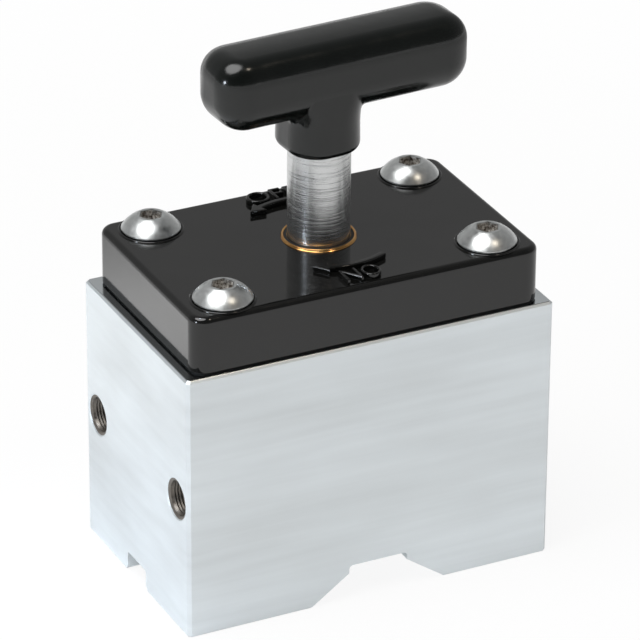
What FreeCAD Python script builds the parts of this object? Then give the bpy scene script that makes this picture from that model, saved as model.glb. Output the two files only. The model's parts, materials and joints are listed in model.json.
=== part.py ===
"""Switchable magnet block for holding steel while it is welded: a ground steel body with
a V-groove and a slot across its pole faces, a moulded cap, and a T-handle that turns the
upper of two disc magnets by half a turn. Sizes are in millimetres. The origin is at the
centre of the pole faces' plane, +Z up, with the long side along X."""
import FreeCAD
import Part
import math
import os

os.makedirs("parts", exist_ok=True)

Vector = FreeCAD.Vector
UP = Vector(0, 0, 1)

# Steel body
block_length = 94.0
block_width = 57.5
block_height = 67.0
upright_chamfer = 0.8
top_bevel = 0.6
foot_chamfer = 0.3

# V-groove with a square channel at its top, across the body along Y
groove_width = 35.2
groove_flank_angle = 35.0
groove_channel_width = 15.2
groove_channel_height = 2.0
groove_channel_radius = 1.0
groove_offset = 2.0

# Slot along X that parts the pole faces
slot_width = 10.4
slot_depth = 5.3
slot_radius = 0.8
slot_mouth_chamfer = 1.3
slot_offset = 0.5

# Tapped holes in both end faces
end_hole_size = 10.0
end_hole_pitch = 1.5
end_hole_countersink = 0.5
end_hole_depth = 15.0
end_hole_side_wall = 1.0
end_hole_height = 33.8
drill_point_angle = 118.0

# Magnet bore and what lies in it, from the bottom up
bore_wall = 6.25
web_thickness = 4.0
separator_thickness = 1.0
separator_fit = 0.2
rotor_gap = 0.1
carrier_thickness = 7.0
thrust_washer_thickness = 1.5
thrust_washer_ring = 4.6
bearing_plate_thickness = 7.0
plate_wall = 3.0
plate_fit = 0.05
lower_magnet_fit = 0.1
upper_magnet_gap = 0.5
magnet_edge = 0.8

# Round keys that stop the lower magnet from turning
key_pin_size = 4.0
key_pin_fit = 0.05

# Dowels that stop the bearing plate from turning
dowel_size = 2.0
dowel_grip_in_body = 3.0
dowel_fit = 0.02

# Carrier legs that drive the upper magnet
leg_width = 8.0
leg_depth = 3.0
leg_end_room = 6.5
leg_fit = 0.1

# Half-turn stop: a pin in the bearing plate and a curved track in the carrier
turn_range = 180.0
stop_pin_size = 4.0
stop_track_gap = 1.65
stop_track_depth = 3.5
stop_clearance = 0.3
stop_pin_end_gap = 0.5
stop_pin_fit = 0.02

# Drive shaft
shaft_size = 14.8
shaft_spigot_size = 12.0
shaft_fit = 0.05
spigot_fit = 0.03
shaft_chamfer = 0.8

# Key between shaft and carrier
shaft_key_width = 4.0
shaft_key_height = 4.0
shaft_key_fit = 0.03

# Ring that holds the carrier on the spigot
ring_thickness = 1.0
ring_lip = 2.2
ring_pocket_room = 1.3
ring_pocket_floor = 1.6
ring_groove_depth = 0.6
ring_fit = 0.05
ring_gap_angle = 50.0

# Shaft seal ring
seal_section = 1.5
seal_depth_below_top = 5.0
seal_fit = 0.03

# Bush
bush_wall = 1.45
bush_fit = 0.02
bush_proud = 0.25
bush_chamfer = 0.3

# Cap and gasket
cap_margin_x = 2.7
cap_margin_y = 1.25
cap_height = 13.7
cap_corner_radius = 4.0
cap_edge_radius = 1.5
cap_wall = 3.0
cap_inner_radius = 1.5
cap_roof = 4.0
cap_rib_thickness = 2.0
cap_screw_boss_margin = 1.8
cap_bush_boss_wall = 4.0
gasket_thickness = 0.6
gasket_inset = 0.6

# Cap screws with low button heads
screw_inset_x = 10.5
screw_inset_y = 7.8
screw_size = 8.0
screw_head_size = 14.0
screw_head_height = 3.4
screw_head_rim = 0.3
screw_flat_size = 6.6
screw_hex = 5.0
screw_socket_depth = 2.4
screw_grip_in_body = 14.0
screw_end_room = 3.0
screw_hole_clearance = 0.3
screw_thread_fit = 0.05
washer_size = 13.4
washer_thickness = 0.4

# T-handle: the bar
handle_clear_height = 23.5
bar_length = 65.0
bar_height = 17.65
handle_width = 19.4
bar_offset = 3.9
bar_corner_radius = 7.3
bar_lower_radius = 7.2
bar_upper_radius = 5.8
handle_turn = 2.9
core_fit = 0.03

# T-handle: the hub, which turns squarer where it runs into the bar
hub_height = 9.85
hub_length = 17.9
hub_inset = 0.1
hub_offset = -0.44
hub_corner_radius = 7.5
hub_straight_height = 7.4
hub_shoulder_height = 6.35
hub_shoulder_length = 19.0
hub_short_arm_radius = 4.0
hub_long_arm_radius = 6.2
hub_blend_steps = 4
hub_rim_radius = 1.9
hub_root_radius = 1.5

# Steel rod through the shaft, inside the grip, and the screw that locks it
rod_size = 8.0
rod_length = 46.0
rod_chamfer = 0.8
shaft_above_rod = 3.4
lock_screw_size = 4.0
lock_screw_hex = 2.0
lock_screw_fit = 0.03

# Levels that follow from the sizes above
cut_over = 1.0
flank_height = 0.5 * (groove_width - groove_channel_width) * math.tan(math.radians(groove_flank_angle))
groove_depth = flank_height + groove_channel_height
bore_radius = block_width / 2 - bore_wall
bore_floor = max(groove_depth, slot_depth) + web_thickness
plate_bottom = block_height - bearing_plate_thickness
plate_radius = block_width / 2 - plate_wall
moving_stack = 2 * rotor_gap + carrier_thickness + thrust_washer_thickness
magnet_thickness = (plate_bottom - bore_floor - separator_thickness - moving_stack) / 2
separator_bottom = bore_floor + magnet_thickness
upper_magnet_bottom = separator_bottom + separator_thickness + rotor_gap
carrier_bottom = upper_magnet_bottom + magnet_thickness
carrier_top = carrier_bottom + carrier_thickness
rotor_radius = bore_radius - upper_magnet_gap
leg_length = magnet_thickness - leg_end_room
end_hole_core = (end_hole_size - end_hole_pitch) / 2
end_hole_rim = end_hole_size / 2 + end_hole_countersink
end_hole_y = block_width / 2 - end_hole_side_wall - end_hole_rim
gasket_top = block_height + gasket_thickness
cap_top = gasket_top + cap_height
cap_length = block_length - 2 * cap_margin_x
cap_width = block_width - 2 * cap_margin_y
screw_x = cap_length / 2 - screw_inset_x
screw_y = cap_width / 2 - screw_inset_y
shaft_radius = shaft_size / 2
bush_inner_radius = shaft_radius + shaft_fit
bush_outer_radius = bush_inner_radius + bush_wall
thrust_washer_radius = bush_inner_radius + thrust_washer_ring
stop_radius = thrust_washer_radius + stop_track_gap + stop_clearance + stop_pin_size / 2
dowel_place = (bore_radius + plate_radius) / 2
ring_pocket_radius = shaft_spigot_size / 2 + ring_lip + ring_pocket_room
ring_pocket_top = carrier_bottom + ring_pocket_floor + ring_thickness
seal_height = cap_top - seal_depth_below_top
hub_width = handle_width - 2 * hub_inset
hub_bottom = cap_top + handle_clear_height
bar_bottom = hub_bottom + hub_height
hub_blend_start = hub_bottom + hub_straight_height
hub_top = bar_bottom + hub_shoulder_height
rod_height = bar_bottom + bar_height / 2
shaft_top = rod_height + rod_size / 2 + shaft_above_rod
SCREW_PLACES = [(sx * screw_x, sy * screw_y) for sx in (-1, 1) for sy in (-1, 1)]


def cylinder(radius, bottom, top, x=0.0, y=0.0):
    """An upright cylinder between two heights."""
    return Part.makeCylinder(radius, top - bottom, Vector(x, y, bottom), UP)


def ring(outer, inner, bottom, top):
    """An upright tube round the main axis."""
    return cylinder(outer, bottom, top).cut(cylinder(inner, bottom - cut_over, top + cut_over))


def box(x_size, y_size, bottom, top, x=0.0, y=0.0):
    """A box centred on x and y, between two heights."""
    corner = Vector(x - x_size / 2, y - y_size / 2, bottom)
    return Part.makeBox(x_size, y_size, top - bottom, corner)


def upright_edges(solid):
    """The straight edges of a solid that run along Z."""
    found = []
    for edge in solid.Edges:
        first = edge.Vertexes[0].Point
        last = edge.Vertexes[-1].Point
        if abs(first.x - last.x) < 1e-6 and abs(first.y - last.y) < 1e-6 and abs(first.z - last.z) > 1e-6:
            found.append(edge)
    return found


def edges_at_height(solid, height):
    """The edges of a solid that lie wholly at one height."""
    found = []
    for edge in solid.Edges:
        bounds = edge.BoundBox
        if abs(bounds.ZMin - height) < 1e-5 and abs(bounds.ZMax - height) < 1e-5:
            found.append(edge)
    return found


def rounded_plate(x_size, y_size, radius, bottom, top):
    """A plate whose four upright corners are rounded."""
    plate = box(x_size, y_size, bottom, top)
    return plate.makeFillet(radius, upright_edges(plate))


def extrude_outline(points, direction):
    """A prism from a closed list of corners."""
    return Part.Face(Part.makePolygon(points + points[:1])).extrude(direction)


def revolve_outline(points):
    """A turned solid from corners given as radius and height, starting on the axis."""
    corners = [Vector(radius, 0, height) for radius, height in points]
    return Part.Face(Part.makePolygon(corners + corners[:1])).revolve(Vector(0, 0, 0), UP, 360)


def hex_prism(across_flats, bottom, top, x=0.0, y=0.0):
    """An upright hexagonal prism."""
    radius = across_flats / math.sqrt(3)
    corners = []
    for index in range(6):
        angle = math.radians(60 * index)
        corners.append(Vector(x + radius * math.cos(angle), y + radius * math.sin(angle), bottom))
    return extrude_outline(corners, Vector(0, 0, top - bottom))


def turned_about_axis(solid, degrees):
    """A copy of a solid turned about the main axis."""
    copy = solid.copy()
    copy.rotate(Vector(0, 0, 0), UP, degrees)
    return copy


def groove_tool():
    """The V-groove with its square channel, as long as the body is wide."""
    y_start = -block_width / 2 - cut_over
    half_mouth = groove_width / 2
    half_channel = groove_channel_width / 2
    half_below = half_mouth + cut_over / math.tan(math.radians(groove_flank_angle))
    outline = [
        (-half_below, -cut_over),
        (-half_channel, flank_height),
        (-half_channel, groove_depth),
        (half_channel, groove_depth),
        (half_channel, flank_height),
        (half_below, -cut_over),
    ]
    corners = [Vector(groove_offset + x, y_start, z) for x, z in outline]
    tool = extrude_outline(corners, Vector(0, block_width + 2 * cut_over, 0))
    roof_edges = []
    for edge in tool.Edges:
        bounds = edge.BoundBox
        if bounds.ZMin > groove_depth - 1e-5 and bounds.YLength > block_width:
            roof_edges.append(edge)
    return tool.makeFillet(groove_channel_radius, roof_edges)


def slot_tool():
    """The slot along X, with rounded inner corners and a chamfered mouth."""
    x_start = -block_length / 2 - cut_over
    half = slot_width / 2
    half_mouth = half + slot_mouth_chamfer + cut_over
    outline = [
        (-half_mouth, -cut_over),
        (-half, slot_mouth_chamfer),
        (-half, slot_depth),
        (half, slot_depth),
        (half, slot_mouth_chamfer),
        (half_mouth, -cut_over),
    ]
    corners = [Vector(x_start, slot_offset + y, z) for y, z in outline]
    tool = extrude_outline(corners, Vector(block_length + 2 * cut_over, 0, 0))
    roof_edges = []
    for edge in tool.Edges:
        bounds = edge.BoundBox
        if bounds.ZMin > slot_depth - 1e-5 and bounds.XLength > block_length:
            roof_edges.append(edge)
    return tool.makeFillet(slot_radius, roof_edges)


def end_hole_tool(side, y):
    """A drilled and countersunk hole in the end face at X plus or minus."""
    core = end_hole_core
    rim = end_hole_rim
    point = core / math.tan(math.radians(drill_point_angle / 2))
    outline = [
        (0, -cut_over),
        (rim + cut_over, -cut_over),
        (core, rim - core),
        (core, end_hole_depth),
        (0, end_hole_depth + point),
    ]
    tool = revolve_outline(outline)
    tool.rotate(Vector(0, 0, 0), Vector(0, 1, 0), -90 * side)
    tool.translate(Vector(side * block_length / 2, y, end_hole_height))
    return tool


def make_steel_body():
    """The ground steel body with its bore, grooves and tapped holes."""
    body = box(block_length, block_width, 0, block_height)
    body = body.makeChamfer(upright_chamfer, upright_edges(body))
    body = body.makeChamfer(top_bevel, edges_at_height(body, block_height))
    body = body.makeChamfer(foot_chamfer, edges_at_height(body, 0))
    body = body.cut(groove_tool())
    body = body.cut(slot_tool())
    body = body.cut(cylinder(bore_radius, bore_floor, block_height + cut_over))
    body = body.cut(cylinder(plate_radius + plate_fit, plate_bottom, block_height + cut_over))
    for side in (-1, 1):
        key_hole = key_pin_size / 2 + key_pin_fit
        body = body.cut(cylinder(key_hole, bore_floor, plate_bottom + cut_over, 0, side * bore_radius))
        body = body.cut(dowel_solid(side, dowel_fit))
        for y in (-end_hole_y, end_hole_y):
            body = body.cut(end_hole_tool(side, y))
    hole_radius = screw_size / 2 + screw_thread_fit
    hole_bottom = block_height - screw_grip_in_body - screw_end_room
    for x, y in SCREW_PLACES:
        body = body.cut(cylinder(hole_radius, hole_bottom, block_height + cut_over, x, y))
    return body


def make_lower_magnet():
    """The fixed disc magnet, notched at both sides for its round keys."""
    magnet = cylinder(bore_radius - lower_magnet_fit, bore_floor, separator_bottom)
    magnet = magnet.makeChamfer(magnet_edge, edges_at_height(magnet, bore_floor))
    magnet = magnet.makeChamfer(magnet_edge, edges_at_height(magnet, separator_bottom))
    notch = key_pin_size / 2 + key_pin_fit
    for side in (-1, 1):
        magnet = magnet.cut(cylinder(notch, 0, block_height, 0, side * bore_radius))
    return magnet


def make_lower_magnet_keys():
    """Two round keys, half in the body and half in the lower magnet."""
    keys = []
    for side in (-1, 1):
        keys.append(cylinder(key_pin_size / 2, bore_floor, separator_bottom, 0, side * bore_radius))
    return Part.makeCompound(keys)


def make_magnet_separator():
    """The thin stainless disc that the rotor slides on."""
    return cylinder(bore_radius - separator_fit, separator_bottom, separator_bottom + separator_thickness)


def leg_box(side, bottom, top, gap):
    """A carrier leg, or with a gap the notch that it fits."""
    inner = rotor_radius - leg_depth - gap
    outer = rotor_radius + cut_over
    leg = box(leg_width + 2 * gap, outer - inner, bottom, top, 0, side * (inner + outer) / 2)
    return leg.common(cylinder(rotor_radius + gap, bottom, top))


def make_upper_magnet():
    """The turning disc magnet, notched for the carrier's legs."""
    magnet = cylinder(rotor_radius, upper_magnet_bottom, carrier_bottom)
    magnet = magnet.makeChamfer(magnet_edge, edges_at_height(magnet, upper_magnet_bottom))
    magnet = magnet.makeChamfer(magnet_edge, edges_at_height(magnet, carrier_bottom))
    for side in (-1, 1):
        magnet = magnet.cut(leg_box(side, upper_magnet_bottom - cut_over, carrier_bottom + cut_over, leg_fit))
    return magnet


def stop_track():
    """The curved track in the carrier's top that the stop pin runs in."""
    half_width = stop_pin_size / 2 + stop_clearance
    bottom = carrier_top - stop_track_depth
    top = carrier_top + cut_over
    end_angle = math.degrees(stop_clearance / stop_radius)
    start = Vector(stop_radius - half_width, 0, bottom)
    strip = Part.makePolygon([
        start,
        Vector(stop_radius + half_width, 0, bottom),
        Vector(stop_radius + half_width, 0, top),
        Vector(stop_radius - half_width, 0, top),
        start,
    ])
    track = Part.Face(strip).revolve(Vector(0, 0, 0), UP, turn_range + 2 * end_angle)
    track.rotate(Vector(0, 0, 0), UP, -end_angle)
    pin_hole = stop_pin_size / 2 + stop_clearance
    for angle in (0, turn_range):
        end = cylinder(pin_hole, bottom, top, stop_radius, 0)
        track = track.fuse(turned_about_axis(end, angle))
    return track


def key_box(bottom, top, gap):
    """The shaft key, or with a gap the keyway that it fits."""
    inner = shaft_spigot_size / 2 - shaft_key_height / 2 - gap
    outer = shaft_spigot_size / 2 + shaft_key_height / 2 + gap
    return box(outer - inner, shaft_key_width + 2 * gap, bottom, top, -(inner + outer) / 2, 0)


def make_magnet_carrier():
    """The non-magnetic plate that joins the shaft to the upper magnet."""
    carrier = cylinder(rotor_radius, carrier_bottom, carrier_top)
    for side in (-1, 1):
        carrier = carrier.fuse(leg_box(side, carrier_bottom - leg_length, carrier_bottom, 0))
    carrier = carrier.removeSplitter()
    spigot_hole = shaft_spigot_size / 2 + spigot_fit
    carrier = carrier.cut(cylinder(spigot_hole, carrier_bottom, carrier_top + cut_over))
    carrier = carrier.cut(cylinder(ring_pocket_radius, carrier_bottom - cut_over, ring_pocket_top))
    carrier = carrier.cut(key_box(ring_pocket_top - cut_over, carrier_top + cut_over, shaft_key_fit))
    return carrier.cut(stop_track())


def make_thrust_washer():
    """The plain washer between the carrier and the bearing plate."""
    top = carrier_top + thrust_washer_thickness
    return ring(thrust_washer_radius, bush_inner_radius, carrier_top, top)


def make_shaft_key():
    """The square key in the shaft's spigot."""
    return key_box(ring_pocket_top, carrier_top, 0)


def make_retaining_ring():
    """The open spring ring in the spigot's groove, against the pocket's roof."""
    bottom = ring_pocket_top - ring_thickness
    inner = shaft_spigot_size / 2 - ring_groove_depth + ring_fit
    outer = shaft_spigot_size / 2 + ring_lip
    spring = ring(outer, inner, bottom, ring_pocket_top)
    half = math.radians(ring_gap_angle / 2)
    reach = 2 * outer
    wedge = [
        Vector(0, 0, bottom - cut_over),
        Vector(reach * math.cos(half), -reach * math.sin(half), bottom - cut_over),
        Vector(reach * math.cos(half), reach * math.sin(half), bottom - cut_over),
    ]
    return spring.cut(extrude_outline(wedge, Vector(0, 0, ring_thickness + 2 * cut_over)))


def make_drive_shaft():
    """The turned shaft, with spigot, keyway, ring and seal grooves and a cross hole."""
    spigot = shaft_spigot_size / 2
    spigot_bottom = carrier_bottom + core_fit
    shaft = revolve_outline([
        (0, spigot_bottom),
        (spigot - shaft_chamfer, spigot_bottom),
        (spigot, spigot_bottom + shaft_chamfer),
        (spigot, carrier_top),
        (shaft_radius, carrier_top),
        (shaft_radius, shaft_top - shaft_chamfer),
        (shaft_radius - shaft_chamfer, shaft_top),
        (0, shaft_top),
    ])
    shaft = shaft.cut(key_box(carrier_bottom - cut_over, carrier_top, shaft_key_fit))
    ring_bottom = ring_pocket_top - ring_thickness - ring_fit
    ring_floor = spigot - ring_groove_depth
    shaft = shaft.cut(ring(spigot + cut_over, ring_floor, ring_bottom, ring_pocket_top + ring_fit))
    half = seal_section / 2 + seal_fit
    seal_floor = bush_inner_radius - seal_section - 2 * seal_fit
    shaft = shaft.cut(ring(shaft_radius + cut_over, seal_floor, seal_height - half, seal_height + half))
    cross = rod_cylinder(rod_size / 2 + core_fit, 2 * shaft_size, 0)
    shaft = shaft.cut(turned_about_axis(cross, handle_turn))
    lock_hole = cylinder(lock_screw_size / 2 + lock_screw_fit, rod_height, shaft_top + cut_over)
    return shaft.cut(lock_hole)


def make_shaft_seal():
    """The square-cut rubber ring in the shaft's groove, inside the bush."""
    outer = bush_inner_radius - seal_fit
    half = seal_section / 2
    return ring(outer, outer - seal_section, seal_height - half, seal_height + half)


def make_shaft_bush():
    """The bronze bush through cap and bearing plate."""
    bush = ring(bush_outer_radius, bush_inner_radius, plate_bottom, cap_top + bush_proud)
    outer_rims = []
    for edge in edges_at_height(bush, cap_top + bush_proud):
        if edge.BoundBox.XLength > 2 * bush_inner_radius + bush_wall:
            outer_rims.append(edge)
    return bush.makeChamfer(bush_chamfer, outer_rims)


def make_bearing_plate():
    """The round plate that closes the bore and carries the bush and the stop pin."""
    plate = cylinder(plate_radius, plate_bottom, block_height)
    plate = plate.cut(cylinder(bush_outer_radius + bush_fit, 0, block_height + cut_over))
    plate = plate.cut(stop_pin_solid(stop_pin_fit))
    for side in (-1, 1):
        plate = plate.cut(dowel_solid(side, dowel_fit))
    return plate


def dowel_solid(side, gap):
    """A dowel through the plate's rim into the body's ledge, or its hole with a gap."""
    bottom = plate_bottom - dowel_grip_in_body - gap
    top = block_height + (cut_over if gap else 0)
    return cylinder(dowel_size / 2 + gap, bottom, top, side * dowel_place, 0)


def make_plate_dowels():
    """Two dowels that stop the bearing plate from turning."""
    return Part.makeCompound([dowel_solid(side, 0) for side in (-1, 1)])


def stop_pin_solid(gap):
    """The stop pin, or its hole in the plate with a gap."""
    bottom = carrier_top - stop_track_depth + stop_pin_end_gap
    top = block_height + (cut_over if gap else 0)
    return cylinder(stop_pin_size / 2 + gap, bottom, top, stop_radius, 0)


def make_stop_pin():
    """The hardened pin that ends each half turn."""
    return stop_pin_solid(0)


def make_cap_gasket():
    """The thin rubber sheet between body and cap."""
    sheet = rounded_plate(
        cap_length - 2 * gasket_inset,
        cap_width - 2 * gasket_inset,
        cap_corner_radius - gasket_inset,
        block_height,
        gasket_top,
    )
    sheet = sheet.cut(cylinder(bush_outer_radius + bush_fit, 0, cap_top))
    hole = screw_size / 2 + screw_hole_clearance
    for x, y in SCREW_PLACES:
        sheet = sheet.cut(cylinder(hole, 0, cap_top, x, y))
    return sheet


def make_top_cap():
    """The moulded cap: a shell with screw bosses, a bush boss and ribs inside."""
    cap = rounded_plate(cap_length, cap_width, cap_corner_radius, gasket_top, cap_top)
    cap = cap.makeFillet(cap_edge_radius, edges_at_height(cap, cap_top))
    roof = cap_top - cap_roof
    hollow = rounded_plate(
        cap_length - 2 * cap_wall,
        cap_width - 2 * cap_wall,
        cap_inner_radius,
        gasket_top - cut_over,
        roof,
    )
    for x, y in SCREW_PLACES:
        hollow = hollow.cut(cylinder(washer_size / 2 + cap_screw_boss_margin, 0, cap_top, x, y))
    hollow = hollow.cut(cylinder(bush_outer_radius + cap_bush_boss_wall, 0, cap_top))
    hollow = hollow.cut(box(cap_length, cap_rib_thickness, 0, cap_top))
    hollow = hollow.cut(box(cap_rib_thickness, cap_width, 0, cap_top))
    cap = cap.cut(hollow)
    cap = cap.cut(cylinder(bush_outer_radius + bush_fit, 0, cap_top + cut_over))
    hole = screw_size / 2 + screw_hole_clearance
    for x, y in SCREW_PLACES:
        cap = cap.cut(cylinder(hole, 0, cap_top + cut_over, x, y))
    return cap


def button_head(bottom):
    """A low domed head: a thin rim, a dome of one arc and a flat top."""
    rim = screw_head_size / 2
    flat = screw_flat_size / 2
    shoulder = bottom + screw_head_rim
    top = bottom + screw_head_height
    rise = top - shoulder
    centre = (rise ** 2 + flat ** 2 - rim ** 2) / (2 * rise)
    radius = math.hypot(rim, centre)
    start_angle = math.atan2(-centre, rim)
    end_angle = math.atan2(rise - centre, flat)
    middle_angle = (start_angle + end_angle) / 2
    middle = Vector(
        radius * math.cos(middle_angle),
        0,
        shoulder + centre + radius * math.sin(middle_angle),
    )
    dome = Part.Arc(Vector(rim, 0, shoulder), middle, Vector(flat, 0, top)).toShape()
    lower = Part.makePolygon([
        Vector(flat, 0, top),
        Vector(0, 0, top),
        Vector(0, 0, bottom),
        Vector(rim, 0, bottom),
        Vector(rim, 0, shoulder),
    ])
    outline = Part.Wire([dome] + lower.Edges)
    return Part.Face(outline).revolve(Vector(0, 0, 0), UP, 360)


def make_cap_screws():
    """Four socket screws with low button heads."""
    seat = cap_top + washer_thickness
    head = button_head(seat)
    top = seat + screw_head_height
    shank = cylinder(screw_size / 2, block_height - screw_grip_in_body, seat + screw_head_rim)
    screw = head.fuse(shank).removeSplitter()
    screw = screw.cut(hex_prism(screw_hex, top - screw_socket_depth, top + cut_over))
    screws = []
    for x, y in SCREW_PLACES:
        copy = screw.copy()
        copy.translate(Vector(x, y, 0))
        screws.append(copy)
    return Part.makeCompound(screws)


def make_cap_screw_washers():
    """Four thin sealing washers under the screw heads."""
    inner = screw_size / 2 + screw_hole_clearance
    washers = []
    for x, y in SCREW_PLACES:
        washer = ring(washer_size / 2, inner, cap_top, cap_top + washer_thickness)
        washer.translate(Vector(x, y, 0))
        washers.append(washer)
    return Part.makeCompound(washers)


def rod_cylinder(radius, length, offset):
    """A level cylinder along the handle bar, before the handle's turn."""
    return Part.makeCylinder(radius, length, Vector(offset - length / 2, 0, rod_height), Vector(1, 0, 0))


def rounded_bar():
    """The bar of the grip, rounded at its upright corners and along its top and bottom."""
    top = bar_bottom + bar_height
    bar = rounded_plate(bar_length, handle_width, bar_corner_radius, bar_bottom, top)
    bar = bar.makeFillet(bar_upper_radius, edges_at_height(bar, top))
    bar = bar.makeFillet(bar_lower_radius, edges_at_height(bar, bar_bottom))
    bar.translate(Vector(bar_offset, 0, 0))
    return bar


def hub_outline(length, short_arm_radius, long_arm_radius, height):
    """One level section of the hub: a rectangle with four rounded corners."""
    arcs = []
    for side_x, side_y in ((1, 1), (-1, 1), (-1, -1), (1, -1)):
        radius = long_arm_radius if side_x > 0 else short_arm_radius
        x = hub_offset + side_x * (length / 2 - radius)
        y = side_y * (hub_width / 2 - radius)
        diagonal = radius * math.sqrt(0.5)
        on_side = Vector(x + side_x * radius, y, height)
        on_front = Vector(x, y + side_y * radius, height)
        middle = Vector(x + side_x * diagonal, y + side_y * diagonal, height)
        if side_x == side_y:
            arcs.append((on_side, middle, on_front))
        else:
            arcs.append((on_front, middle, on_side))
    edges = []
    for index, (start, middle, end) in enumerate(arcs):
        next_start = arcs[(index + 1) % len(arcs)][0]
        edges.append(Part.Arc(start, middle, end).toShape())
        edges.append(Part.makeLine(end, next_start))
    return Part.Wire(edges)


def hub_solid():
    """The hub, straight at first and then smoothly squarer towards the bar."""
    levels = [(hub_bottom, 0.0), ((hub_bottom + hub_blend_start) / 2, 0.0)]
    for step in range(hub_blend_steps + 1):
        share = step / hub_blend_steps
        height = hub_blend_start + share * (hub_top - hub_blend_start)
        levels.append((height, share * share * (3 - 2 * share)))
    outlines = []
    for height, blend in levels:
        length = hub_length + blend * (hub_shoulder_length - hub_length)
        short_arm_radius = hub_corner_radius + blend * (hub_short_arm_radius - hub_corner_radius)
        long_arm_radius = hub_corner_radius + blend * (hub_long_arm_radius - hub_corner_radius)
        outlines.append(hub_outline(length, short_arm_radius, long_arm_radius, height))
    hub = Part.makeLoft(outlines, True, False)
    return hub.makeFillet(hub_rim_radius, edges_at_height(hub, hub_bottom))


def hub_root_edges(grip):
    """The edges where the hub runs into the underside of the bar."""
    found = []
    slack = 0.01
    reach = hub_shoulder_length / 2 + slack
    for edge in grip.Edges:
        bounds = edge.BoundBox
        in_height = bounds.ZMin > bar_bottom - slack and bounds.ZMax < hub_top
        if in_height and bounds.XMin > hub_offset - reach and bounds.XMax < hub_offset + reach:
            found.append(edge)
    return found


def make_handle_grip():
    """The glossy moulded T-grip with its hub, moulded round the shaft and the rod."""
    grip = rounded_bar().fuse(hub_solid()).removeSplitter()
    grip = grip.makeFillet(hub_root_radius, hub_root_edges(grip))
    grip = grip.cut(cylinder(shaft_radius + core_fit, 0, shaft_top + core_fit))
    grip = grip.cut(rod_cylinder(rod_size / 2 + core_fit, rod_length + 2 * core_fit, bar_offset))
    return turned_about_axis(grip, handle_turn)


def make_handle_rod():
    """The steel rod through the shaft that stiffens the grip."""
    rod = rod_cylinder(rod_size / 2, rod_length, bar_offset)
    ends = []
    for edge in rod.Edges:
        if edge.BoundBox.XLength < 1e-5:
            ends.append(edge)
    rod = rod.makeChamfer(rod_chamfer, ends)
    return turned_about_axis(rod, handle_turn)


def make_rod_lock_screw():
    """The grub screw in the shaft's end that clamps the rod."""
    bottom = rod_height + rod_size / 2
    screw = cylinder(lock_screw_size / 2, bottom, shaft_top)
    socket_depth = (shaft_top - bottom) / 2
    return screw.cut(hex_prism(lock_screw_hex, shaft_top - socket_depth, shaft_top + cut_over))


NODES = {
    "steel_body": make_steel_body,
    "lower_magnet": make_lower_magnet,
    "lower_magnet_keys": make_lower_magnet_keys,
    "magnet_separator": make_magnet_separator,
    "bearing_plate": make_bearing_plate,
    "plate_dowels": make_plate_dowels,
    "stop_pin": make_stop_pin,
    "shaft_bush": make_shaft_bush,
    "cap_gasket": make_cap_gasket,
    "top_cap": make_top_cap,
    "cap_screw_washers": make_cap_screw_washers,
    "cap_screws": make_cap_screws,
    "upper_magnet": make_upper_magnet,
    "magnet_carrier": make_magnet_carrier,
    "thrust_washer": make_thrust_washer,
    "shaft_key": make_shaft_key,
    "carrier_retaining_ring": make_retaining_ring,
    "drive_shaft": make_drive_shaft,
    "shaft_seal": make_shaft_seal,
    "handle_rod": make_handle_rod,
    "rod_lock_screw": make_rod_lock_screw,
    "handle_grip": make_handle_grip,
}

for name, build in NODES.items():
    shape = build()
    shape.exportStep("parts/" + name + ".step")
    size = shape.BoundBox
    print(name, "valid" if shape.isValid() else "NOT VALID", len(shape.Solids), "solids",
          round(size.XLength, 2), round(size.YLength, 2), round(size.ZLength, 2))
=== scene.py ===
# %% [markdown]
# Switchable magnet block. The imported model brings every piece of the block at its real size
# and place. This lesson gives each of them the finish that the real one has, models the few
# details that are too fine for the construction, and lights the block like a product shot.
# The frame is loaded first, because every size and place below is read from it.

# %% Load the frame
import json
import math
import bmesh
import bpy
from mathutils import Euler, Matrix, Vector


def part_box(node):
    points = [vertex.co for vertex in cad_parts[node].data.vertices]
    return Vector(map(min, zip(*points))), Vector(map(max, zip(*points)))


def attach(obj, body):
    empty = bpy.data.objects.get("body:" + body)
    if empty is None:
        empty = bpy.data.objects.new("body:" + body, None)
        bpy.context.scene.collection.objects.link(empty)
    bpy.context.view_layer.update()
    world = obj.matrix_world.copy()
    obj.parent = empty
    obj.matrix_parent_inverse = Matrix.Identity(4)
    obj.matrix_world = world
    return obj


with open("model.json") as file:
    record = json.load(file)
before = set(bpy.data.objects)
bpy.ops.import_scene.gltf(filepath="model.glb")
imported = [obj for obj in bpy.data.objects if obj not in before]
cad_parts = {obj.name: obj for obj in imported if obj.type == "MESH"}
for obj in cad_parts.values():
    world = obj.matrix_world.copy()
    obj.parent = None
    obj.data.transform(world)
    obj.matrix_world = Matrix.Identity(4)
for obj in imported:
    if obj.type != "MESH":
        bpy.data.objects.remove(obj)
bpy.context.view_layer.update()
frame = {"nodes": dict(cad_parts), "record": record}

MM = 0.001
nodes = frame["nodes"]

# %% [markdown]
# The camera comes before the looks, because every finish is judged through it. A long lens
# from far away keeps the block's edges almost parallel, as in a catalogue picture. The
# camera turns round a target point by azimuth and elevation, and a last small roll levels
# it as the photographer's own camera stood.

# %% Camera
CAMERA_AZIMUTH = -26.293
CAMERA_ELEVATION = 27.415
CAMERA_ROLL = 0.379
CAMERA_DISTANCE = 1125.3 * MM
CAMERA_TARGET = Vector((0.5, 0.0, 59.0)) * MM
CAMERA_LENS = 270.0
CAMERA_SENSOR = 36.0


def direction_from(azimuth, elevation):
    """The unit vector from the block towards a point at these angles in degrees."""
    around = math.radians(azimuth)
    up = math.radians(elevation)
    return Vector((math.sin(around) * math.cos(up), -math.cos(around) * math.cos(up), math.sin(up)))


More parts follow.
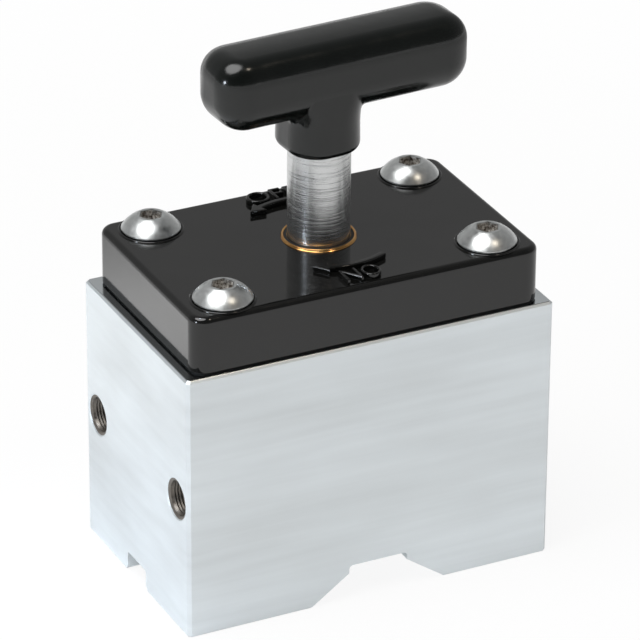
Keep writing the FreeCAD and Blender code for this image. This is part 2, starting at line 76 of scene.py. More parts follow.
camera_data = bpy.data.cameras.new("camera")
camera_data.lens = CAMERA_LENS
camera_data.sensor_width = CAMERA_SENSOR
camera_data.clip_end = 50.0
camera = bpy.data.objects.new("camera", camera_data)
bpy.context.scene.collection.objects.link(camera)
towards_camera = direction_from(CAMERA_AZIMUTH, CAMERA_ELEVATION)
facing = (-towards_camera).to_track_quat("-Z", "Y").to_matrix().to_4x4()
roll = Matrix.Rotation(math.radians(CAMERA_ROLL), 4, "Z")
place = Matrix.Translation(CAMERA_TARGET + towards_camera * CAMERA_DISTANCE)
camera.matrix_world = place @ facing @ roll
bpy.context.scene.camera = camera
print("camera at, mm:", [round(v / MM) for v in camera.location])

# %% [markdown]
# A material here is a small tree of nodes. Colours are picked as sRGB hex values, the way a
# colour chart gives them, and a shader wants linear light, so one function turns them. One
# more function adds a node: it sets the node's own choices and then fills or links its
# sockets, so that a tree reads like a recipe.

# %% Helpers for materials
MIX_A = 6
MIX_B = 7
MIX_RESULT = 2


def linear(hex_code):
    """An sRGB hex colour as linear red, green, blue and alpha."""
    channels = []
    for start in (0, 2, 4):
        value = int(hex_code[start:start + 2], 16) / 255
        channels.append(value / 12.92 if value <= 0.04045 else ((value + 0.055) / 1.055) ** 2.4)
    return (*channels, 1.0)


def add_node(tree, kind, choices=None, sockets=None):
    """Adds a node, sets its choices, and fills its sockets with values or links."""
    node = tree.nodes.new(kind)
    for name, value in (choices or {}).items():
        setattr(node, name, value)
    for name, value in (sockets or {}).items():
        if isinstance(value, bpy.types.NodeSocket):
            tree.links.new(value, node.inputs[name])
        else:
            node.inputs[name].default_value = value
    return node


def start_material(name):
    """A new material with its shader and its coordinates on the piece, in metres."""
    material = bpy.data.materials.new(name)
    material.use_nodes = True
    tree = material.node_tree
    shader = tree.nodes["Principled BSDF"]
    place = add_node(tree, "ShaderNodeTexCoord").outputs["Object"]
    return material, tree, shader, place


def dress(material, *names):
    """Gives a finish to CAD nodes, whose meshes stay as they are."""
    for name in names:
        mesh = nodes[name].data
        mesh.materials.clear()
        mesh.materials.append(material)
    print(material.name, "on", ", ".join(names))


# %% [markdown]
# The block is ground steel with a thin pale plating. The grinding leaves streaks round the
# block, some a hand's breadth long and a few millimetres high, and finer lines between them.
# Plating leaves broad soft patches, slightly bluer or greyer. The streaks are noise that is
# stretched along the faces. The finest grinding lines don't show at this distance, so these
# are drawn wider. The plating scatters the mirror image, so the roughness is fairly high.
# Only the top is lapped smooth, where the cap's gasket seals, so its ledge mirrors the cap.

# %% Plated steel
STREAK_HEIGHT = 3.2 * MM
STREAK_STRETCH = 16.0
GRIND_LINE = 1.3 * MM
GRIND_STRETCH = 60.0
PATCH_SIZE = 20 * MM
SATIN_ROUGHNESS = 0.5
LAPPED_ROUGHNESS = 0.14
LAPPED_FROM = 66.75 * MM
LAPPED_TO = 66.95 * MM

plated_steel, tree, shader, place = start_material("plated_ground_steel")


def steel_noise(size, stretch_x, stretch_y, detail):
    """Noise on the block, stretched along its faces."""
    stretched = add_node(tree, "ShaderNodeMapping", None,
                         {"Vector": place, "Scale": (1 / stretch_x, 1 / stretch_y, 1)})
    return add_node(tree, "ShaderNodeTexNoise", None,
                    {"Vector": stretched.outputs[0], "Scale": 1 / size, "Detail": detail}).outputs["Fac"]


def steel_range(noise, low, high):
    """The middle part of a noise, mapped to a range."""
    return add_node(tree, "ShaderNodeMapRange", None,
                    {"Value": noise, "From Min": 0.3, "From Max": 0.7,
                     "To Min": low, "To Max": high}).outputs["Result"]


streaks = steel_noise(STREAK_HEIGHT, STREAK_STRETCH, STREAK_STRETCH / 2, detail=3.0)
lines = steel_noise(GRIND_LINE, GRIND_STRETCH, GRIND_STRETCH / 3, detail=3.0)
patches = steel_noise(PATCH_SIZE, stretch_x=4.0, stretch_y=2.0, detail=3.0)
patch_colour = add_node(tree, "ShaderNodeMix", {"data_type": "RGBA"},
                        {0: steel_range(patches, low=0.0, high=1.0),
                         MIX_A: linear("dbe0e2"), MIX_B: linear("ebf1f4")})
shades = add_node(tree, "ShaderNodeMath", {"operation": "MULTIPLY"},
                  {0: steel_range(streaks, low=0.95, high=1.0),
                   1: steel_range(lines, low=0.98, high=1.0)})
steel_colour = add_node(tree, "ShaderNodeMix", {"data_type": "RGBA", "blend_type": "MULTIPLY"},
                        {0: 1.0, MIX_A: patch_colour.outputs[MIX_RESULT], MIX_B: shades.outputs[0]})
steel_bump = add_node(tree, "ShaderNodeBump", None,
                      {"Height": lines, "Strength": 0.15, "Distance": 0.01 * MM})
tree.links.new(steel_colour.outputs[MIX_RESULT], shader.inputs["Base Color"])
height = add_node(tree, "ShaderNodeSeparateXYZ", None, {0: place}).outputs["Z"]
steel_rough = add_node(tree, "ShaderNodeMapRange", None,
                       {"Value": height, "From Min": LAPPED_FROM, "From Max": LAPPED_TO,
                        "To Min": SATIN_ROUGHNESS, "To Max": LAPPED_ROUGHNESS})
tree.links.new(steel_rough.outputs["Result"], shader.inputs["Roughness"])
tree.links.new(steel_bump.outputs["Normal"], shader.inputs["Normal"])
shader.inputs["Metallic"].default_value = 1.0
dress(plated_steel, "steel_body")

# %% [markdown]
# Cap and grip are injection-moulded from polished moulds, a finish that is called piano
# black: the cap in ABS with an IOR of 1.54, the grip in polypropylene, which reflects a
# little less. Nearly all that the eye gets is that clear reflection. A moulded face is never
# quite flat, so a broad, very low bump bends the reflections, and the roughness changes a
# little, as it does where hands and rags have been.

# %% Piano black plastic
MOULD_WAVE = 14 * MM
HANDLING_MARK = 5 * MM


def piano_black(name, hex_code, ior, roughness_from, roughness_to, wave_strength, wave_detail, skin):
    """Polished black plastic with mould waves, handling marks and a slightly uneven skin."""
    material, tree, shader, place = start_material(name)
    waves = add_node(tree, "ShaderNodeTexNoise", None,
                     {"Vector": place, "Scale": 1 / MOULD_WAVE, "Detail": wave_detail})
    marks = add_node(tree, "ShaderNodeTexNoise", None,
                     {"Vector": place, "Scale": 1 / HANDLING_MARK, "Detail": 5.0, "Roughness": 0.6})
    rough = add_node(tree, "ShaderNodeMapRange", None,
                     {"Value": marks.outputs["Fac"], "From Min": 0.35, "From Max": 0.7,
                      "To Min": roughness_from, "To Max": roughness_to})
    bump = add_node(tree, "ShaderNodeBump", None,
                    {"Height": waves.outputs["Fac"], "Strength": wave_strength, "Distance": 0.25 * MM})
    skin_bump = add_node(tree, "ShaderNodeBump", None,
                         {"Height": marks.outputs["Fac"], "Strength": 1.0, "Distance": skin,
                          "Normal": bump.outputs["Normal"]})
    tree.links.new(rough.outputs["Result"], shader.inputs["Roughness"])
    tree.links.new(skin_bump.outputs["Normal"], shader.inputs["Normal"])
    shader.inputs["Base Color"].default_value = linear(hex_code)
    shader.inputs["IOR"].default_value = ior
    return material, tree, shader, place, skin_bump


cap_black = piano_black("piano_black_cap_abs", "0f0f0e", ior=1.54, roughness_from=0.05,
                        roughness_to=0.12, wave_strength=0.2, wave_detail=1.0,
                        skin=0.004 * MM)[0]
dress(cap_black, "top_cap")

# %% [markdown]
# The grip's top is crowned a little across the bar, less than the construction shows, so that
# its reflection fades from the back edge to the front. A second bump stands for that crown.
# Its height falls with the square of the distance from the bar's middle line, and that line
# is turned a few degrees from X, as the handle is. Only the top takes the bump's normal.

# %% Crowned grip
HANDLE_TURN = 2.9
CROWN_CURVE = 16.0
CROWN_FROM = 122.5 * MM
CROWN_TO = 127.5 * MM

grip_black, tree, shader, place, skin_bump = piano_black(
    "piano_black_grip_polypropylene", "080c0a", ior=1.5, roughness_from=0.13,
    roughness_to=0.24, wave_strength=0.6, wave_detail=3.0, skin=0.025 * MM)
turn_angle = math.radians(HANDLE_TURN)
across = add_node(tree, "ShaderNodeVectorMath", {"operation": "DOT_PRODUCT"},
                  {0: place, 1: (-math.sin(turn_angle), math.cos(turn_angle), 0)})
square = add_node(tree, "ShaderNodeMath", {"operation": "MULTIPLY"},
                  {0: across.outputs["Value"], 1: across.outputs["Value"]})
crown = add_node(tree, "ShaderNodeMath", {"operation": "MULTIPLY"},
                 {0: square.outputs[0], 1: -CROWN_CURVE})
crown_bump = add_node(tree, "ShaderNodeBump", None,
                      {"Height": crown.outputs[0], "Strength": 1.0, "Distance": 1.0,
                       "Normal": skin_bump.outputs["Normal"]})
height = add_node(tree, "ShaderNodeSeparateXYZ", None, {0: place}).outputs["Z"]
on_top = add_node(tree, "ShaderNodeMapRange", None,
                  {"Value": height, "From Min": CROWN_FROM, "From Max": CROWN_TO})
crowned = add_node(tree, "ShaderNodeMix", {"data_type": "VECTOR"},
                   {0: on_top.outputs["Result"], 4: skin_bump.outputs["Normal"],
                    5: crown_bump.outputs["Normal"]})
tree.links.new(crowned.outputs[1], shader.inputs["Normal"])
dress(grip_black, "handle_grip")

# %% [markdown]
# The shaft is turned steel, left as it came off the lathe: bright, with fine rings round it,
# uneven where the tool chattered. The rings are noise that is flattened along Z. Only its
# low parts become grooves, with steep walls, and each wall catches light that a smooth shaft
# would send elsewhere. The grooves are also painted a little darker, as painted shade. They
# are drawn about 0.5 mm apart, coarser than the real feed.

# %% Turned steel
RING_PITCH = 0.5 * MM
RING_STRETCH = 24.0

turned_steel, tree, shader, place = start_material("lathe_turned_steel")
ring_place = add_node(tree, "ShaderNodeMapping", None,
                      {"Vector": place, "Scale": (1 / RING_STRETCH, 1 / RING_STRETCH, 1)})
rings = add_node(tree, "ShaderNodeTexNoise", None,
                 {"Vector": ring_place.outputs[0], "Scale": 1 / RING_PITCH, "Detail": 3.0,
                  "Roughness": 0.65})
grooves = add_node(tree, "ShaderNodeMapRange", None,
                   {"Value": rings.outputs["Fac"], "From Min": 0.36, "From Max": 0.5})
# The low parts of the rings are painted darker: painted shade in the grooves.
groove_painted_shade = add_node(tree, "ShaderNodeMix", {"data_type": "RGBA"},
                        {0: grooves.outputs["Result"], MIX_A: linear("bcbebe"), MIX_B: linear("d2d3d3")})
ring_bump = add_node(tree, "ShaderNodeBump", None,
                     {"Height": grooves.outputs["Result"], "Strength": 0.7, "Distance": 0.022 * MM})
tree.links.new(groove_painted_shade.outputs[MIX_RESULT], shader.inputs["Base Color"])
tree.links.new(ring_bump.outputs["Normal"], shader.inputs["Normal"])
shader.inputs["Metallic"].default_value = 1.0
shader.inputs["Roughness"].default_value = 0.27
shader.inputs["Anisotropic"].default_value = 0.5
shader.inputs["Anisotropic Rotation"].default_value = 0.25
dress(turned_steel, "drive_shaft")

# %% [markdown]
# The small metal pieces share one recipe: a metal with its own colour, a grain of its own
# size that shifts colour and roughness, and a low bump from the same grain. What differs is
# the making: tumbled and polished screws, sintered bronze, hardened pins, nickel-plated
# magnets, a cast carrier and rolled sheet, whose grain is stretched along the rolling.

# %% Small metal finishes


def metal_finish(name, dark, light, grain, roughness_from, roughness_to, stretch=(1, 1, 1),
                 relief=0.005, softness=0.5):
    """A metal with a grain of one size, between two shades and two roughnesses."""
    material, tree, shader, place = start_material(name)
    stretched = add_node(tree, "ShaderNodeMapping", None, {"Vector": place, "Scale": stretch})
    noise = add_node(tree, "ShaderNodeTexNoise", None,
                     {"Vector": stretched.outputs[0], "Scale": 1 / grain, "Detail": 4.0})
    grains = add_node(tree, "ShaderNodeMapRange", None,
                      {"Value": noise.outputs["Fac"], "From Min": 0.5 - softness,
                       "From Max": 0.5 + softness})
    shade = add_node(tree, "ShaderNodeMix", {"data_type": "RGBA"},
                     {0: grains.outputs["Result"], MIX_A: linear(dark), MIX_B: linear(light)})
    rough = add_node(tree, "ShaderNodeMapRange", None,
                     {"Value": noise.outputs["Fac"], "From Min": 0.3, "From Max": 0.7,
                      "To Min": roughness_from, "To Max": roughness_to})
    bump = add_node(tree, "ShaderNodeBump", None,
                    {"Height": noise.outputs["Fac"], "Strength": 0.5, "Distance": relief * MM})
    tree.links.new(shade.outputs[MIX_RESULT], shader.inputs["Base Color"])
    tree.links.new(rough.outputs["Result"], shader.inputs["Roughness"])
    tree.links.new(bump.outputs["Normal"], shader.inputs["Normal"])
    shader.inputs["Metallic"].default_value = 1.0
    return material


satin_stainless = metal_finish("satin_stainless_screw", "c0c3c2", "e6e8e7", 1.2 * MM, 0.28, 0.38)
sintered_bronze = metal_finish("sintered_bronze", "b87c48", "eec480", 3.0 * MM, 0.15, 0.28, relief=0.01)
hardened_steel = metal_finish("hardened_ground_steel", "7d7f82", "9b9ea1", 0.6 * MM, 0.25, 0.38)
nickel_plating = metal_finish("nickel_plated_magnet", "b9b4a8", "d2cec4", 6 * MM, 0.16, 0.26)
cast_alloy = metal_finish("cast_aluminium_alloy", "a4a7aa", "c3c6c8", 0.8 * MM, 0.38, 0.55, relief=0.03)
rolled_sheet = metal_finish("rolled_stainless_sheet", "aeb1b3", "c9cccd", 0.5 * MM, 0.2, 0.35,
                            stretch=(0.03, 1, 1))
dress(satin_stainless, "cap_screws")
dress(sintered_bronze, "shaft_bush", "thrust_washer")
dress(hardened_steel, "stop_pin", "plate_dowels", "lower_magnet_keys", "shaft_key",
      "carrier_retaining_ring", "handle_rod", "rod_lock_screw")
dress(nickel_plating, "lower_magnet", "upper_magnet")
dress(cast_alloy, "magnet_carrier", "bearing_plate")
dress(rolled_sheet, "magnet_separator")

# %% [markdown]
# Gasket, sealing washers and shaft seal are black nitrile rubber. Rubber is dull, with the
# fine skin of its mould, so it is dark, rough and slightly uneven.

# %% Nitrile rubber
RUBBER_SKIN = 0.4 * MM

rubber, tree, shader, place = start_material("moulded_nitrile_rubber")
skin = add_node(tree, "ShaderNodeTexNoise", None,
                {"Vector": place, "Scale": 1 / RUBBER_SKIN, "Detail": 3.0})
skin_shade = add_node(tree, "ShaderNodeMix", {"data_type": "RGBA"},
                      {0: skin.outputs["Fac"], MIX_A: linear("121211"), MIX_B: linear("1f1f1d")})
skin_bump = add_node(tree, "ShaderNodeBump", None,
                     {"Height": skin.outputs["Fac"], "Strength": 0.4, "Distance": 0.03 * MM})
tree.links.new(skin_shade.outputs[MIX_RESULT], shader.inputs["Base Color"])
tree.links.new(skin_bump.outputs["Normal"], shader.inputs["Normal"])
shader.inputs["Roughness"].default_value = 0.62
shader.inputs["IOR"].default_value = 1.52
dress(rubber, "cap_gasket", "cap_screw_washers", "shaft_seal")

# %% [markdown]
# A new piece is modelled in a bmesh and then becomes an object whose own place stays at the
# origin. This helper makes that object, gives it its material, smooths its faces, keeps level
# faces flat and edges sharper than a given angle crisp, and hangs it on its body.

# %% Helper for new pieces
SHARP_ANGLE = 32.0
LEVEL_FACE = 0.9999


def make_piece(name, shape, material, body):
    """Turns a bmesh into a finished piece on a body."""
    mesh = bpy.data.meshes.new(name)
    shape.to_mesh(mesh)
    shape.free()
    mesh.materials.append(material)
    mesh.shade_smooth()
    mesh.set_sharp_from_angle(angle=math.radians(SHARP_ANGLE))
    for face in mesh.polygons:
        face.use_smooth = abs(face.normal.z) < LEVEL_FACE
    piece = bpy.data.objects.new(name, mesh)
    bpy.context.scene.collection.objects.link(piece)
    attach(piece, body)
    print(name, "faces:", len(mesh.polygons))
    return piece


# %% [markdown]
# In front of the shaft and behind it the cap carries raised marks, moulded with it, that say
# which way to turn the handle. Here they are the plain words ON and OFF, with their feet
# towards the shaft, and a plain curved arrow with each. A text object and a flat curve
# already have an outline, a thickness and a bevel, so they are the quick way to such marks.
# Each is made a mesh first, and the mesh is then moved to its place on the cap. The marks
# come from an engraved part of the mould, so their skin is less even than the cap's.

# %% Helpers for raised marks
MARK_RELIEF = 1.4 * MM
MARK_EDGE = 0.3 * MM
MARK_SINK = 0.05 * MM
ARROW_BAR = 1.4 * MM
ARROW_HEAD = 4.4 * MM
ARROW_HEAD_LENGTH = 3.6 * MM
ARROW_STEPS = 16
LETTER_SHARE = 0.7

cap_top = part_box("top_cap")[1].z


def raised_mark(outline, x, y, turn, squeeze=1.0):
    """An outline as a solid mark, narrowed, turned about the vertical and set on the cap."""
    outline.extrude = MARK_RELIEF / 2 - MARK_EDGE
    outline.bevel_depth = MARK_EDGE
    outline.bevel_resolution = 3
    outline.offset = -MARK_EDGE
    holder = bpy.data.objects.new("mark", outline)
    bpy.context.scene.collection.objects.link(holder)
    bpy.context.view_layer.update()
    mesh = bpy.data.meshes.new_from_object(holder)
    bpy.data.objects.remove(holder)
    shape = bmesh.new()
    shape.from_mesh(mesh)
    bmesh.ops.remove_doubles(shape, verts=shape.verts, dist=0.001 * MM)
    bmesh.ops.recalc_face_normals(shape, faces=shape.faces)
    bmesh.ops.scale(shape, verts=shape.verts, vec=(squeeze, 1, 1))
    bmesh.ops.rotate(shape, verts=shape.verts, cent=(0, 0, 0),
                     matrix=Matrix.Rotation(math.radians(turn), 3, "Z"))
    bmesh.ops.translate(shape, verts=shape.verts,
                        vec=(x, y, cap_top - MARK_SINK + MARK_RELIEF / 2))
    return shape


def word(text, height):
    """A word as a text outline. A capital takes up a share of the size that a font states."""
    outline = bpy.data.curves.new("word", "FONT")
    outline.body = text
    outline.size = height / LETTER_SHARE
    outline.align_x = "CENTER"
    outline.align_y = "CENTER"
    outline.resolution_u = 6
    return outline


def curved_arrow(radius, tail, tip):
    """An arrow round the shaft as a flat closed curve, from one angle at the front to another."""
    neck = tip - math.copysign(math.degrees(ARROW_HEAD_LENGTH / radius), tip - tail)
    bar = [tail + (neck - tail) * i / ARROW_STEPS for i in range(ARROW_STEPS + 1)]
    corners = [(radius - ARROW_BAR / 2, a) for a in bar]
    corners += [(radius - ARROW_HEAD / 2, neck), (radius, tip), (radius + ARROW_HEAD / 2, neck)]
    corners += [(radius + ARROW_BAR / 2, a) for a in reversed(bar)]
    outline = bpy.data.curves.new("arrow", "CURVE")
    outline.dimensions = "2D"
    outline.fill_mode = "BOTH"
    line = outline.splines.new("POLY")
    line.points.add(len(corners) - 1)
    for point, (r, angle) in zip(line.points, corners):
        around = math.radians(angle)
        point.co = (r * math.sin(around), -r * math.cos(around), 0, 1)
    line.use_cyclic_u = True
    return outline


# %% Raised marks on the cap
ARROW_RADIUS = 18.6 * MM
ARROW_TAIL = 27
ON_ARROW_TIP = -30
OFF_ARROW_TIP = 33
ON_HEIGHT = 5.2 * MM
OFF_HEIGHT = 5.4 * MM
ON_SQUEEZE = 0.85
ON_PLACE = Vector((-0.5, -22.8)) * MM
OFF_PLACE = Vector((-1.5, 21.8)) * MM

mark_black = piano_black("piano_black_raised_mark_abs", "0f0f0e", ior=1.54, roughness_from=0.06,
                         roughness_to=0.16, wave_strength=0.2, wave_detail=1.0,
                         skin=0.03 * MM)[0]
on_word = raised_mark(word("ON", ON_HEIGHT), *ON_PLACE, turn=180, squeeze=ON_SQUEEZE)
on_arrow = raised_mark(curved_arrow(ARROW_RADIUS, ARROW_TAIL, ON_ARROW_TIP), 0, 0, turn=0)
off_word = raised_mark(word("OFF", OFF_HEIGHT), *OFF_PLACE, turn=0)
off_arrow = raised_mark(curved_arrow(ARROW_RADIUS, -ARROW_TAIL, OFF_ARROW_TIP), 0, 0, turn=180)
for name, shape in (("cap_mark_on", on_word), ("cap_mark_on_arrow", on_arrow),
                    ("cap_mark_off", off_word), ("cap_mark_off_arrow", off_arrow)):
    make_piece(name, shape, mark_black, "housing")

# %% [markdown]
# The four holes in the ends of the block are tapped after plating, so their threads are bare
# and darker. The construction has them as plain drilled holes with a wide countersink. Each
# gets a plated collar, flush with the end face, that leaves only a narrow countersink, and a
# bare lining with V-shaped ridges, a turned profile that stands for the thread. Where the
# holes are is read from the record's mount for the left end, and the right end mirrors it.

# %% Tapped steel
bare_thread = metal_finish("bare_tapped_steel", "4a4540", "908a82", 0.7 * MM, 0.35, 0.55, relief=0.03)

# %% Helper for round pieces


def spun_ring(profile, centre, axis, steps):
    """Spins a closed profile of (along, out) pairs round an axis through a centre."""
    along, out = Vector(axis), Vector((0, 1, 0))
    shape = bmesh.new()
    loop = [shape.verts.new(centre + along * a + out * r) for a, r in profile]
    edges = [shape.edges.new(pair) for pair in zip(loop, loop[1:] + loop[:1])]
    bmesh.ops.spin(shape, geom=loop + edges, cent=centre, axis=along, angle=2 * math.pi,
                   steps=steps, use_merge=True)
    bmesh.ops.recalc_face_normals(shape, faces=shape.faces)
    return shape


# %% Threads in the end holes
THREAD_PITCH = 0.75 * MM
THREAD_RIDGE = 0.3 * MM
THREAD_ROOT = 0.05 * MM
THREAD_DEPTH = 12 * MM
BORE_RADIUS = 4.22 * MM
COLLAR_OUTER = 5.46 * MM
COLLAR_INNER = 5.2 * MM
COLLAR_DEPTH = 0.03 * MM
CONE_END = 0.25 * MM
HOLE_STEPS = 72

end_holes = [mount for mount in frame["record"]["mounts"] if mount["name"] == "left_end_holes"][0]
hole_y = end_holes["dims"]["spacing_x_mm"] * MM / 2
hole_z = end_holes["pos_m"][2]
print("end holes at, mm:", round(hole_y / MM, 2), round(hole_z / MM, 2))
collar = [(COLLAR_DEPTH, COLLAR_OUTER), (COLLAR_DEPTH, COLLAR_INNER),
          (CONE_END, COLLAR_INNER - CONE_END), (CONE_END, COLLAR_OUTER - CONE_END)]
turns = int((THREAD_DEPTH - CONE_END) / (THREAD_PITCH / 2))
depths = [CONE_END + i * THREAD_PITCH / 2 for i in range(turns)]
walls = [max(COLLAR_INNER - depth, BORE_RADIUS) for depth in depths]
ridges = [(depth, wall - (THREAD_RIDGE if i % 2 else THREAD_ROOT))
          for i, (depth, wall) in enumerate(zip(depths, walls))]
lining = [(CONE_END, COLLAR_OUTER - CONE_END)] + ridges + [(ridges[-1][0], BORE_RADIUS),
          (COLLAR_OUTER - BORE_RADIUS, BORE_RADIUS)]
body_low, body_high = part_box("steel_body")
for end, end_x, inward in (("left", body_low.x, 1), ("right", body_high.x, -1)):
    for row, y in (("front", -hole_y), ("back", hole_y)):
        mouth = Vector((end_x, y, hole_z))
        make_piece(f"{end}_{row}_collar", spun_ring(collar, mouth, (inward, 0, 0), HOLE_STEPS),
                   plated_steel, "housing")
        make_piece(f"{end}_{row}_thread", spun_ring(lining, mouth, (inward, 0, 0), HOLE_STEPS),
                   bare_thread, "housing")

# %% [markdown]
# Where the shaft comes out of the cap, the bronze bush ends in a bright rounded bead, and a
# black wiper lip lies between it and the shaft and keeps grinding dust out. Both are small
# rings on the bush, turned from their profiles: half a circle for the bead, a low slope for
# the lip.

# %% Bead and wiper lip on the bush
BEAD_RADIUS = 0.32 * MM
BEAD_INSET = 0.08 * MM
BEAD_STEPS = 10
LIP_WIDTH = 0.7 * MM
LIP_HEIGHT = 0.12 * MM
RING_GAP = 0.03 * MM
RING_STEPS = 144
SHAFT_RADIUS = 7.5 * MM

bush_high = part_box("shaft_bush")[1]
bead_centre = bush_high.x - BEAD_RADIUS - BEAD_INSET
bead_angles = [math.pi * i / BEAD_STEPS for i in range(BEAD_STEPS + 1)]
bead = [(BEAD_RADIUS * math.sin(a), bead_centre + BEAD_RADIUS * math.cos(a)) for a in bead_angles]
lip = [(0, SHAFT_RADIUS + RING_GAP), (LIP_HEIGHT, SHAFT_RADIUS + RING_GAP),
       (LIP_HEIGHT / 2, SHAFT_RADIUS + LIP_WIDTH), (0, SHAFT_RADIUS + LIP_WIDTH)]
bush_top = Vector((0, 0, bush_high.z))
print("bush, mm:", [round(v / MM, 2) for v in bush_high])
make_piece("bush_bead", spun_ring(bead, bush_top, (0, 0, 1), RING_STEPS),
           sintered_bronze, "housing")
make_piece("shaft_wiper_lip", spun_ring(lip, bush_top, (0, 0, 1), RING_STEPS),
           rubber, "housing")

# %% [markdown]
# Round each screw head the cap has a low raised lip, moulded with it, that keeps the sealing
# washer in its place. It is a half-round ring. Each hexagon socket gets a thin cup of painted
# shade: its colour is much darker than the heads, speckled with light grey, and stands for the
# shade deep in the recess. The cup is a six-sided circle that is extruded, then given its
# thickness by solidify.

# %% Lips and painted-shade socket cups of the cap screws
LIP_RING_RADIUS = 7.45 * MM
LIP_ROUND = 0.3 * MM
LIP_STEPS = 8
SCREW_X = 33.8 * MM
SCREW_Y = 19.7 * MM
HEXAGON_HALF_ANGLE = 30.0
SOCKET_FLATS = 4.94 * MM
SOCKET_DEPTH = 2.28 * MM
SOCKET_TURN = 30.0
SOCKET_SKIN = 0.1 * MM

# The socket cups' colour is painted shade: dark grey-brown, speckled with light grey.
painted_shade_socket = metal_finish("worn_socket_steel", "6e665e", "eae8e4", 0.6 * MM, 0.25, 0.5,
                           relief=0.03, softness=0.14)
lip_angles = [math.pi * i / LIP_STEPS for i in range(LIP_STEPS + 1)]
lip_round = [(LIP_ROUND * math.sin(a), LIP_RING_RADIUS + LIP_ROUND * math.cos(a)) for a in lip_angles]
screw_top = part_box("cap_screws")[1].z
print("tops of the screws at, mm:", round(screw_top / MM, 2))


def hexagon_cup(x, y):
    """A cup that lines one hexagon socket, open at the top."""
    shape = bmesh.new()
    corner_radius = (SOCKET_FLATS / 2 - SOCKET_SKIN) / math.cos(math.radians(HEXAGON_HALF_ANGLE))
    bmesh.ops.create_circle(shape, cap_ends=True, radius=corner_radius, segments=6)
    walls = bmesh.ops.extrude_edge_only(shape, edges=shape.edges[:])
    raised = [v for v in walls["geom"] if isinstance(v, bmesh.types.BMVert)]
    bmesh.ops.translate(shape, verts=raised, vec=(0, 0, SOCKET_DEPTH - SOCKET_SKIN))
    bmesh.ops.recalc_face_normals(shape, faces=shape.faces)
    bmesh.ops.solidify(shape, geom=shape.faces, thickness=SOCKET_SKIN)
    bmesh.ops.recalc_face_normals(shape, faces=shape.faces)
    bmesh.ops.rotate(shape, verts=shape.verts, cent=(0, 0, 0),
                     matrix=Matrix.Rotation(math.radians(SOCKET_TURN), 3, "Z"))
    bmesh.ops.translate(shape, verts=shape.verts,
                        vec=(x, y, screw_top - SOCKET_DEPTH))
    return shape


for end, x in (("left", -SCREW_X), ("right", SCREW_X)):
    for row, y in (("front", -SCREW_Y), ("back", SCREW_Y)):
        make_piece(f"{end}_{row}_screw_lip",
                   spun_ring(lip_round, Vector((x, y, cap_top)), (0, 0, 1), HOLE_STEPS),
                   cap_black, "housing")
        # Each socket is lined with its cup of painted shade.
        make_piece(f"{end}_{row}_socket_painted_shade", hexagon_cup(x, y),
                   painted_shade_socket, "housing")

# %% [markdown]
# The block stands on a white table. A catalogue picture loses its horizon and nearly all of
# its shadow, because the paper is lit until it is plain white. Here the table shows itself
# to the camera mostly as plain white, and fully so away from the block, so that only a
# breath of shadow is left. In reflections it keeps more of its own light and shade, because
# that is what gives black plastic and bright steel their form.

# %% Table
TABLE_SIZE = 14.0
SHADOW_FROM = 0.12
SHADOW_TO = 0.45
MIRROR_FROM = 0.5
MIRROR_TO = 1.6
WHITE_FOR_CAMERA = 0.9
WHITE_FOR_MIRRORS = 0.35

table_shape = bmesh.new()
bmesh.ops.create_grid(table_shape, x_segments=1, y_segments=1, size=TABLE_SIZE / 2)
table_mesh = bpy.data.meshes.new("table")
table_shape.to_mesh(table_mesh)
table_shape.free()
table = bpy.data.objects.new("table", table_mesh)
bpy.context.scene.collection.objects.link(table)

table_white, tree, shader, place = start_material("white_table")
tree.nodes.remove(shader)
paint = add_node(tree, "ShaderNodeBsdfDiffuse", None, {"Color": (0.94, 0.94, 0.94, 1)})
glow = add_node(tree, "ShaderNodeEmission", None, {"Color": (1, 1, 1, 1), "Strength": 1.0})
rays = add_node(tree, "ShaderNodeLightPath")
distance = add_node(tree, "ShaderNodeVectorMath", {"operation": "LENGTH"}, {0: place})


def white_share(seen, nearest, farthest, near_share):
    """How much plain white a kind of ray sees, rising with the distance from the block."""
    share = add_node(tree, "ShaderNodeMapRange", {"interpolation_type": "SMOOTHSTEP"},
                     {"Value": distance.outputs["Value"], "From Min": nearest, "From Max": farthest,
                      "To Min": near_share, "To Max": 1.0})
    return add_node(tree, "ShaderNodeMath", {"operation": "MULTIPLY"},
                    {0: share.outputs["Result"], 1: seen}).outputs[0]


mirrors = add_node(tree, "ShaderNodeMath", {"operation": "MAXIMUM"},
                   {0: rays.outputs["Is Glossy Ray"], 1: rays.outputs["Is Transmission Ray"]})
for_camera = white_share(rays.outputs["Is Camera Ray"], SHADOW_FROM, SHADOW_TO, WHITE_FOR_CAMERA)
for_mirrors = white_share(mirrors.outputs[0], MIRROR_FROM, MIRROR_TO, WHITE_FOR_MIRRORS)
share = add_node(tree, "ShaderNodeMath", {"operation": "MAXIMUM"}, {0: for_camera, 1: for_mirrors})
blend = add_node(tree, "ShaderNodeMixShader", None,
                 {0: share.outputs[0], 1: paint.outputs[0], 2: glow.outputs[0]})
tree.links.new(blend.outputs[0], tree.nodes["Material Output"].inputs["Surface"])
table_mesh.materials.append(table_white)

# %% [markdown]
# One large round soft lamp hangs over the block, a little to the left, with a small warm
# lamp in front and a small cool one at the left. Two spots only light pools on the table, at
# the back on the left and close beside the block. The block's left-hand walls mirror
# those pools, which is what sets them off from its front.

# %% Helpers for lamps


def place_lamp(name, data, location, target):
    """Puts a lamp at a point and turns it towards another."""
    lamp = bpy.data.objects.new(name, data)
    bpy.context.scene.collection.objects.link(lamp)
    lamp.location = location
    lamp.rotation_mode = "QUATERNION"
    lamp.rotation_quaternion = (location - target).to_track_quat("Z", "Y")
    print(name, "at, mm:", [round(v / MM) for v in location])


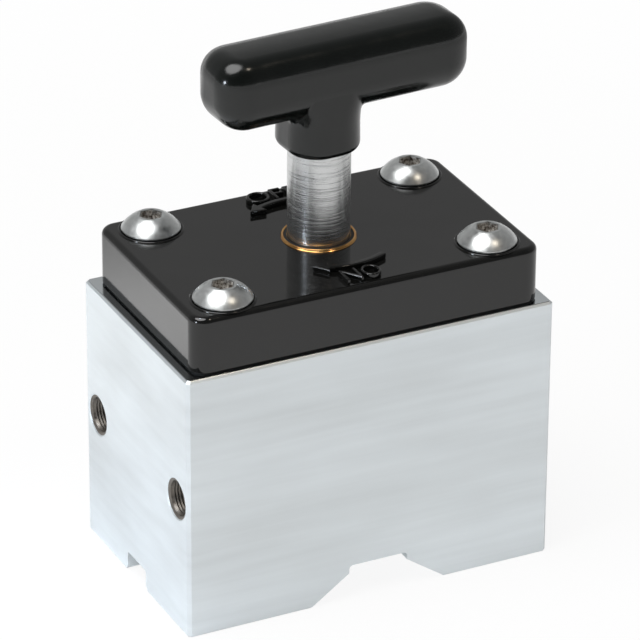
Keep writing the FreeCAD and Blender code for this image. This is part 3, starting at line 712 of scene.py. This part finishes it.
def soft_lamp(name, towards, distance, size, radiance, colour):
    """A round lamp that faces the block and shines evenly over its area."""
    data = bpy.data.lights.new(name, "AREA")
    data.shape = "DISK"
    data.size = size
    data.energy = radiance * math.pi * math.pi * size * size / 4
    data.color = linear(colour)[:3]
    place_lamp(name, data, CAMERA_TARGET + Vector(towards).normalized() * distance, CAMERA_TARGET)


def table_spot(name, lamp_place, pool_place, pool_radius, energy, colour):
    """A spot whose light falls off softly to a circle on the table. Places are in mm."""
    location, target = Vector(lamp_place) * MM, Vector(pool_place) * MM
    data = bpy.data.lights.new(name, "SPOT")
    data.spot_size = 2 * math.atan(pool_radius * MM / (location - target).length)
    data.spot_blend = 1.0
    data.shadow_soft_size = 0.02
    data.energy = energy
    data.color = linear(colour)[:3]
    place_lamp(name, data, location, target)


# %% Lamps
soft_lamp("soft_overhead_lamp", towards=(-0.35, -0.06, 0.935), distance=1.3, size=1.1,
          radiance=5.1, colour="ffffff")
soft_lamp("small_warm_lamp", towards=(0.248, -0.437, 0.865), distance=1.2, size=0.16,
          radiance=14.0, colour="fff0dc")
soft_lamp("small_side_lamp", towards=(-0.951, -0.255, 0.174), distance=1.3, size=0.19,
          radiance=42.0, colour="eaf3ff")
table_spot("narrow_table_spot", lamp_place=(-60, 450, 620), pool_place=(-108, 118, 0),
           pool_radius=46, energy=27.5, colour="ffffff")
table_spot("near_table_spot", lamp_place=(-300, 10, 900), pool_place=(-84, 2, 0),
           pool_radius=80, energy=10.2, colour="d4e6ff")

# %% [markdown]
# The studio's walls are grey. They are lightest low behind the block, and get darker over it
# and towards the camera, where no lamp reaches them. The world stands for them: its grey
# follows the angle to the lightest wall.

# %% Studio walls
LIGHT_WALL = Vector((0.25, 0.75, -0.6)).normalized()
WALL_GREY_LIGHT = 0.5
WALL_GREY_DARK = 0.08

world = bpy.data.worlds.new("studio_walls")
world.use_nodes = True
tree = world.node_tree
outward = add_node(tree, "ShaderNodeTexCoord").outputs["Generated"]
nearness = add_node(tree, "ShaderNodeVectorMath", {"operation": "DOT_PRODUCT"},
                    {0: outward, 1: LIGHT_WALL})
grey = add_node(tree, "ShaderNodeMapRange", None,
                {"Value": nearness.outputs["Value"], "From Min": -1.0, "From Max": 1.0,
                 "To Min": WALL_GREY_DARK, "To Max": WALL_GREY_LIGHT})
tree.links.new(grey.outputs["Result"], tree.nodes["Background"].inputs["Color"])
bpy.context.scene.world = world
bpy.context.scene.view_settings.view_transform = "Standard"
